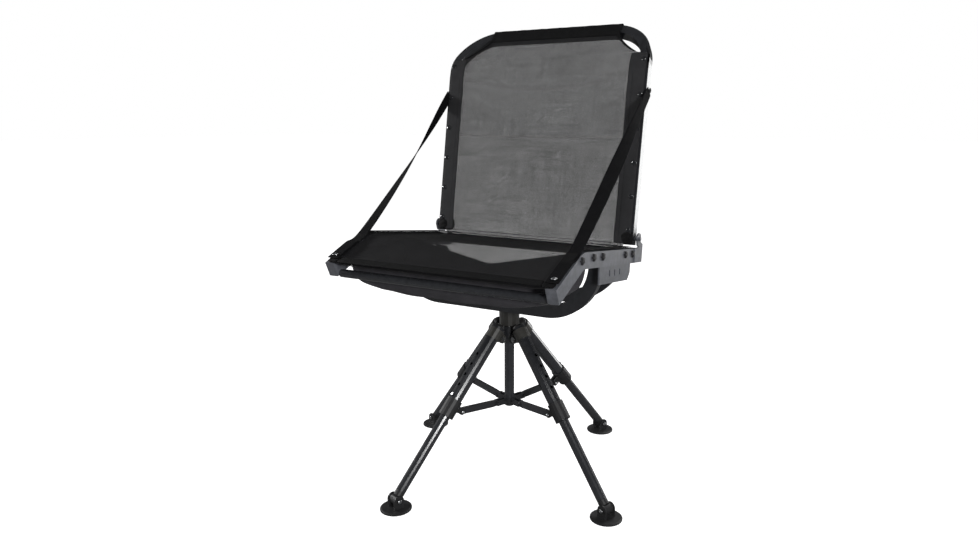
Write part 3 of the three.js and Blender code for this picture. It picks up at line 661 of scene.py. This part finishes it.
def back_borders():
    depth = SHEET_FACE + LIFT
    for side, hand in ((-1, "l"), (1, "r")):
        lines = []
        for height in spread(PANEL_BOTTOM, SHOULDER, 46):
            outer = on_back(side * (BACK_HALF - MM), height, depth)
            lines.append((outer, on_back(side * (BACK_HALF - BORDER_WIDTH), height, depth)))
        hem_strip(f"back_border_{hand}", lines, "back", BORDER_CLOTH)
        lines = []
        for height in edge_heights():
            half = panel_half(height) + MM
            outer = on_back(side * half, height, depth)
            lines.append((outer, on_back(side * (half - 7 * MM), height, depth)))
        hem_strip(f"back_binding_{hand}", lines, "back")


def back_lower_hem():
    lines = []
    for x in spread(-TAIL_HALF, TAIL_HALF, 31):
        low_edge = on_back(x, PANEL_TAIL, panel_depth(PANEL_TAIL) + 1.5 * MM)
        lines.append((low_edge, on_back(x, PANEL_TAIL + 9 * MM, panel_depth(PANEL_TAIL + 9 * MM) + 1.5 * MM)))
    hem_strip("back_hem_low", lines, "back")


CUFF_TURNS = 28
CUFF_ROWS = 13
CUFF_HEIGHT = 24 * MM


def back_cuffs():
    """Where the borders end, their spare cloth is gathered round the foot of each side tube."""
    for side, hand in ((-1, "l"), (1, "r")):
        rows = []
        middle = side * (high("back_frame").x - TUBE_HALF - 3 * MM)
        outer_limit = high("back_frame").x - HEM_THICKNESS
        for j in range(CUFF_ROWS):
            part = j / (CUFF_ROWS - 1)
            height = PANEL_BOTTOM + CUFF_HEIGHT * part
            row = []
            for i in range(CUFF_TURNS):
                angle = 2 * math.pi * i / CUFF_TURNS
                crease = 1.1 * MM * math.sin(3 * angle + 9 * part + side) * math.sin(7 * part + 2 * angle)
                crease *= 0.3 + 0.7 * math.sin(math.pi * part)
                reach = TUBE_HALF + 2.7 * MM + crease + 2.6 * MM * math.sin(math.pi * part)
                out = reach * math.copysign(abs(math.sin(angle)) ** 0.8, math.sin(angle))
                wide = (reach + 3.5 * MM) * math.cos(angle)
                x = middle + wide
                if side * x > outer_limit:
                    x = side * outer_limit
                row.append(on_back(x, height + crease, out))
            rows.append(row)
        obj = sheet(f"back_cuff_{hand}", rows, EDGE_CLOTH, closed=True)
        thicken(obj, HEM_THICKNESS, 1.0)
        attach(obj, "back")


def arc(middle, radius, start, end, count):
    """Points of an arc in (depth, height), by angle in degrees."""
    angles = [math.radians(a) for a in spread(start, end, count)]
    return [(middle[0] + radius * math.cos(a), middle[1] + radius * math.sin(a)) for a in angles]


def back_sleeve():
    """Cloth round the top tube, drawn together at a seam below it."""
    room = TUBE_HALF + 2.4 * MM
    corner = 4 * MM
    top = BACK_TOP + 1.5 * MM
    under = BACK_TOP - SIDE_TUBE - 5 * MM
    seam = BACK_TOP - SLEEVE_DROP
    outline = [(SHEET_FACE + MM, seam), (room, under)]
    outline += arc((room - corner, top - corner), corner, 0, 90, 5)
    outline += arc((corner - room, top - corner), corner, 90, 180, 5)
    outline += [(-room, under), (SHEET_FACE - 2.5 * MM, seam)]
    rows = []
    for x in spread(-SLEEVE_HALF, SLEEVE_HALF, 61):
        pucker = 0.4 * MM * math.sin(x * 210) * math.sin(x * 57)
        rows.append([on_back(x, h, d + pucker) for d, h in outline])
    obj = sheet("back_sleeve", rows, EDGE_CLOTH)
    thicken(obj, HEM_THICKNESS)
    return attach(obj, "back")


# ---- Straps ----

STRAP_WIDTH = 25 * MM
STRAP_THICKNESS = 1.7 * MM
STRAP_HEIGHT = 296 * MM
STRAP_STEPS = 64


def strap_path(side):
    """Along the rail to its bend, then up to the outside of the back, bowed in towards the sitter."""
    x_rail = side * 228 * MM
    foot_y = SEAT_FRONT + 8 * MM
    bend_y = SEAT_FRONT + 108 * MM
    head = on_back(side * (high("back_frame").x + 3 * MM), STRAP_HEIGHT, 0)
    points = [Vector((x_rail, foot_y, rail_top(side, foot_y) + 6 * MM))]
    points.append(Vector((x_rail, (foot_y + bend_y) / 2, rail_top(side, (foot_y + bend_y) / 2) + 6 * MM)))
    points.append(Vector((x_rail, bend_y, rail_top(side, bend_y) + 8 * MM)))
    middle = points[-1].lerp(head, 0.5)
    points.append(Vector((side * 231 * MM, middle.y, middle.z - 8 * MM)))
    points.append(head)
    return points


def smooth_path(points, count):
    """Points along a centripetal curve through the given ones."""
    padded = [points[0] * 2 - points[1], *points, points[-1] * 2 - points[-2]]
    path = []
    spans = len(points) - 1
    for step in range(count):
        place = step / (count - 1) * spans
        i = min(int(place), spans - 1)
        t = place - i
        a, b, c, d = padded[i:i + 4]
        path.append(0.5 * (2 * b + (c - a) * t + (2 * a - 5 * b + 4 * c - d) * t ** 2
                           + (3 * b - a - 3 * c + d) * t ** 3))
    return path


def strap(hand, side):
    path = smooth_path(strap_path(side), STRAP_STEPS)
    rows = []
    for i, point in enumerate(path):
        part = i / (len(path) - 1)
        before = path[max(i - 1, 0)]
        after = path[min(i + 1, len(path) - 1)]
        tangent = (after - before).normalized()
        upright = tangent.cross(X).normalized()
        free = max(0.0, (part - 0.4) / 0.6) ** 1.5
        turn = math.radians(88) * (3 * free ** 2 - 2 * free ** 3)
        across = X * math.cos(turn) + upright * side * math.sin(turn)
        rows.append([point + across * x for x in spread(-STRAP_WIDTH / 2, STRAP_WIDTH / 2, 7)])
    obj = sheet(f"strap_web_{hand}", rows, MATERIALS["webbing"])
    thicken(obj, STRAP_THICKNESS)
    apply_modifiers(obj)
    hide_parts(f"strap_{hand}")
    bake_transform(obj)
    return obj


# ---- Screws and bolts ----


def frame_of(axis):
    side = axis.cross(Z if abs(axis.z) < 0.9 else Y).normalized()
    return side, axis.cross(side).normalized()


def add_head(bm, place, axis, rings, outline):
    """A turned head: rings are (radius share, height), outline(angle, share) is the radius."""
    right, up = frame_of(axis)
    sides = 40
    loops = []
    for share, height in rings:
        loop = []
        for i in range(sides):
            angle = 2 * math.pi * i / sides
            radius = outline(angle, share)
            offset = right * math.cos(angle) * radius + up * math.sin(angle) * radius
            loop.append(bm.verts.new(place + offset + axis * height))
        loops.append(loop)
    for inner, outer in zip(loops, loops[1:]):
        for i in range(sides):
            k = (i + 1) % sides
            bm.faces.new((inner[i], outer[i], outer[k], inner[k]))
    bm.faces.new(loops[0])
    bm.faces.new(loops[-1][::-1])


def button_head(bm, place, axis, radius, height):
    """Domed head with a hexagonal socket."""
    socket = 0.42

    def outline(angle, share):
        if share <= socket:
            sixth = math.pi / 3
            local = (angle % sixth) - sixth / 2
            return radius * share * math.cos(sixth / 2) / math.cos(local)
        return radius * share

    rings = [(0.02, height * 0.45), (socket, height * 0.45), (socket, height * 0.96), (0.5, height)]
    rings += [(math.sin(a), height * (0.25 + 0.75 * math.cos(a))) for a in spread(0.65, 1.45, 5)]
    rings += [(1.0, height * 0.15), (1.0, 0.0)]
    add_head(bm, place, axis, rings, outline)


def star_head(bm, place, axis, radius, height):
    """Five-lobed knob with a soft crown."""

    def outline(angle, share):
        return radius * share * (1 + 0.33 * share * math.cos(5 * angle))

    rings = [(0.05, height * 0.86), (0.3, height * 0.9), (0.36, height)]
    rings += [(0.75, height * 0.98), (0.92, height * 0.85), (1.0, height * 0.6), (1.0, 0.0)]
    add_head(bm, place, axis, rings, outline)


def dome_cap(bm, place, axis, radius, height):
    """Moulded plug with a rounded crown and a rim."""
    rings = [(0.05, height), (0.3, height * 0.97), (0.6, height * 0.82), (0.82, height * 0.58)]
    rings += [(0.93, height * 0.36), (0.94, height * 0.26), (1.02, height * 0.24), (1.04, 0.0)]
    add_head(bm, place, axis, rings, lambda angle, share: radius * share)


def hardware(name, slot, body, heads):
    bm = bmesh.new()
    for build, place, axis, radius, height in heads:
        build(bm, place, axis, radius, height)
    bmesh.ops.recalc_face_normals(bm, faces=bm.faces)
    obj = new_object(name, bm, MATERIALS[slot])
    obj.data.set_sharp_from_angle(angle=math.radians(38))
    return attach(obj, body)


BACK_SCREWS = 6
BACK_SCREW_FIRST = 16 * MM
BACK_SCREW_PITCH = 67.5 * MM
RAIL_BOLT_DEPTHS = [-183 * MM, -132 * MM, -89 * MM, 29 * MM, 70 * MM]
RAIL_BOLT_DROP = 10 * MM


def fasteners():
    screws = []
    for side in (-1, 1):
        for i in range(BACK_SCREWS):
            height = BACK_SCREW_FIRST + i * BACK_SCREW_PITCH
            x = side * (high("back_frame").x - TUBE_HALF)
            place = on_back(x, height, SHEET_FACE + HEM_THICKNESS + LIFT)
            screws.append((button_head, place, back_normal(height), 5 * MM, 1.7 * MM))
    hardware("back_screws", "black_steel", "back", screws)
    heads = []
    for side in (-1, 1):
        x = side * (high("back_frame").x + 3.8 * MM)
        heads.append((button_head, on_back(x, STRAP_HEIGHT, 0), X * side, 5 * MM, 2.4 * MM))
    hardware("strap_head_screws", "black_steel", "back", heads)
    bolts = []
    feet = []
    for side, hand in ((-1, "l"), (1, "r")):
        face = side * high("side_rail_r").x
        for y in RAIL_BOLT_DEPTHS:
            place = Vector((face, y, rail_top(side, y) - RAIL_BOLT_DROP))
            bolts.append((star_head, place, X * side, 5.6 * MM, 4.5 * MM))
        y = SEAT_FRONT + 18 * MM
        place = Vector((side * 228 * MM, y, rail_top(side, y) + 7 * MM))
        feet.append((button_head, place, Z, 5.5 * MM, 2.6 * MM))
    hardware("rail_bolts", "black_plastic", "seat", bolts)
    hardware("strap_foot_screws", "bright_steel", "seat", feet)


LEG_HANDS = ("fl", "fr", "br", "bl")
CAP_HEIGHT = 7 * MM


def tube_top(node, axis):
    """Centre and radius of the upper end of a tube that runs along an axis."""
    points = [v.co.copy() for v in frame["nodes"][node].data.vertices]
    top = max(p.dot(axis) for p in points)
    ring = [p for p in points if top - p.dot(axis) < 0.3 * MM]
    right, up = frame_of(axis)
    wide = [p.dot(right) for p in ring]
    high_side = [p.dot(up) for p in ring]
    middle = right * ((min(wide) + max(wide)) / 2) + up * ((min(high_side) + max(high_side)) / 2) + axis * top
    return middle, (max(wide) - min(wide)) / 2


def outer_face(node, place, axis):
    """Where a line through a pin leaves a piece, on the side that the axis points to."""
    return surface(node).ray_cast(place + axis * 0.06, -axis)[0]


def leg_hardware():
    for hand in LEG_HANDS:
        axis = joint_axis(f"leg_retract_{hand}")
        middle, radius = tube_top(f"upper_leg_{hand}", axis)
        cap = [(dome_cap, middle, axis, radius, CAP_HEIGHT)]
        hardware(f"leg_cap_{hand}", "black_plastic", f"leg_{hand}", cap)
        for joint, node, body, slot, size in (
            (f"foot_tilt_{hand}", f"foot_pad_{hand}", f"foot_{hand}", "bright_steel", 4.2 * MM),
            (f"link_hinge_{hand}", f"leg_collar_{hand}", f"leg_{hand}", "bright_steel", 3.4 * MM),
        ):
            heads = []
            for side in (-1, 1):
                across = joint_axis(joint) * side
                place = outer_face(node, joint_place(joint), across)
                heads.append((button_head, place, across, size, 1.8 * MM))
            hardware(f"{joint}_pin_heads", slot, body, heads)


# ---- Stitching ----

STITCH_PITCH = 4.2 * MM
STITCH_LENGTH = 2.8 * MM
STITCH_RADIUS = 0.35 * MM


def stitches(name, lines, normal, body):
    """Rows of short raised threads along each line."""
    bm = bmesh.new()
    for start, end in lines:
        direction = (end - start).normalized()
        lift = normal.normalized()
        across = direction.cross(lift)
        count = int((end - start).length / STITCH_PITCH)
        for i in range(count):
            middle = start + direction * (STITCH_PITCH * (i + 0.5))
            rings = []
            for along, swell in ((-0.5, 0.35), (-0.3, 0.9), (0.0, 1.0), (0.3, 0.9), (0.5, 0.35)):
                centre = middle + direction * along * STITCH_LENGTH
                ring = []
                for side in range(6):
                    angle = math.pi / 3 * side
                    offset = across * math.cos(angle) + lift * math.sin(angle)
                    ring.append(bm.verts.new(centre + offset * STITCH_RADIUS * swell))
                rings.append(ring)
            for a, b in zip(rings, rings[1:]):
                for side in range(6):
                    k = (side + 1) % 6
                    bm.faces.new((a[side], b[side], b[k], a[k]))
            bm.faces.new(rings[0])
            bm.faces.new(rings[-1][::-1])
    bmesh.ops.recalc_face_normals(bm, faces=bm.faces)
    obj = new_object(name, bm, EDGE_CLOTH)
    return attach(obj, body)


def seams():
    lines = []
    straight = BEND_START
    for side in (-1, 1):
        x = side * (BACK_HALF - HEM_WIDTH - 3 * MM)
        low_end = PANEL_BOTTOM + 4 * MM
        lift = HEM_THICKNESS + LIFT
        bottom = on_back(x, low_end, SHEET_FACE + lift)
        lines.append((bottom, on_back(x, straight, SHEET_FACE + lift)))
    stitches("back_stitching", lines, BACK_FRONT, "back")
    lines = []
    flat_start = SEAT_FRONT + 150 * MM
    for side in (-1, 1):
        x = side * (SEAT_HALF - HEM_WIDTH + 3 * MM)
        lift = HEM_THICKNESS + LIFT
        start = Vector((x, flat_start, seat_top(flat_start) + lift))
        end_y = SEAT_REAR - 4 * MM
        lines.append((start, Vector((x, end_y, seat_top(end_y) + lift))))
    stitches("seat_stitching", lines, Z, "seat")


# ---- Stage ----

LOOK_AT = Vector((5, 3, 425)) * MM
CAMERA_AZIMUTH = math.radians(28.67)
CAMERA_ELEVATION = math.radians(11.99)
CAMERA_DISTANCE = 1501.5 * MM
CAMERA_LENS = 26.64
CAMERA_SHIFT = -0.0236


def camera():
    data = bpy.data.cameras.new("camera")
    data.sensor_width = 36
    data.lens = CAMERA_LENS
    data.shift_x = CAMERA_SHIFT
    obj = bpy.data.objects.new("camera", data)
    bpy.context.scene.collection.objects.link(obj)
    level = math.cos(CAMERA_ELEVATION)
    sideways = math.sin(CAMERA_AZIMUTH) * level
    away = Vector((sideways, -math.cos(CAMERA_AZIMUTH) * level, math.sin(CAMERA_ELEVATION)))
    obj.location = LOOK_AT + away * CAMERA_DISTANCE
    obj.rotation_euler = (-away).to_track_quat("-Z", "Y").to_euler()
    bpy.context.scene.camera = obj


def area_light(name, place, size, power):
    data = bpy.data.lights.new(name, "AREA")
    data.shape = "DISK"
    data.size = size
    data.energy = power
    obj = bpy.data.objects.new(name, data)
    bpy.context.scene.collection.objects.link(obj)
    obj.location = place
    obj.rotation_euler = (Vector((0, 0, 0.45)) - Vector(place)).to_track_quat("-Z", "Y").to_euler()


FLOOR_REACH = 30
FLOOR_SEEN = (0.9, 0.9, 0.9)
FLOOR_LIGHT = (0.2, 0.2, 0.2)  # what it throws back up at the object
FLOOR_GLOW = 0.96
SKY_SEEN = 1.0
SKY_LIGHT = 0.07


def seen_by_camera(tree, seen, otherwise):
    """One value for the camera's own rays and another for light and reflections."""
    path = tree.nodes.new("ShaderNodeLightPath")
    choice = tree.nodes.new("ShaderNodeMapRange")
    choice.inputs["To Min"].default_value = otherwise
    choice.inputs["To Max"].default_value = seen
    tree.links.new(path.outputs["Is Camera Ray"], choice.inputs["Value"])
    return choice.outputs[0]


def floor():
    bm = bmesh.new()
    corners = ((-1, -1), (1, -1), (1, 1), (-1, 1))
    bm.faces.new([bm.verts.new((x * FLOOR_REACH, y * FLOOR_REACH, 0)) for x, y in corners])
    n = Nodes("pale_floor")
    camera_ray = seen_by_camera(n.tree, 1.0, 0.0)
    n.set("Base Color", n.tint(camera_ray, FLOOR_LIGHT, FLOOR_SEEN))
    n.set("Roughness", 0.95)
    n.set("Specular IOR Level", 0.0)
    n.set("Emission Color", (1, 1, 1, 1))
    n.set("Emission Strength", n.math("MULTIPLY", camera_ray, FLOOR_GLOW))
    new_object("floor", bm, n.material)


def daylight():
    """White to the camera, and dimmer as a light, so that black coatings stay black."""
    world = bpy.data.worlds.new("studio")
    bpy.context.scene.world = world
    world.use_nodes = True
    tree = world.node_tree
    background = tree.nodes["Background"]
    background.inputs[0].default_value = (1, 1, 1, 1)
    tree.links.new(seen_by_camera(tree, SKY_SEEN, SKY_LIGHT), background.inputs[1])
    bpy.context.scene.view_settings.view_transform = "Standard"


finish_cad()
seat_mesh()
seat_hems()
pouch()
back_mesh()
back_borders()
back_cuffs()
back_lower_hem()
back_sleeve()
strap("l", -1)
strap("r", 1)
fasteners()
leg_hardware()
seams()
floor()
area_light("key", (2.3, -1.9, 1.0), 0.5, 40)
area_light("left", (-2.8, -0.6, 1.15), 0.45, 48)
area_light("front", (0.9, -2.4, 2.6), 0.7, 14)
area_light("bounce", (1.9, 3.2, 0.5), 2.2, 40)
area_light("rim", (0.4, 2.2, 2.4), 1.6, 20)
camera()
daylight()
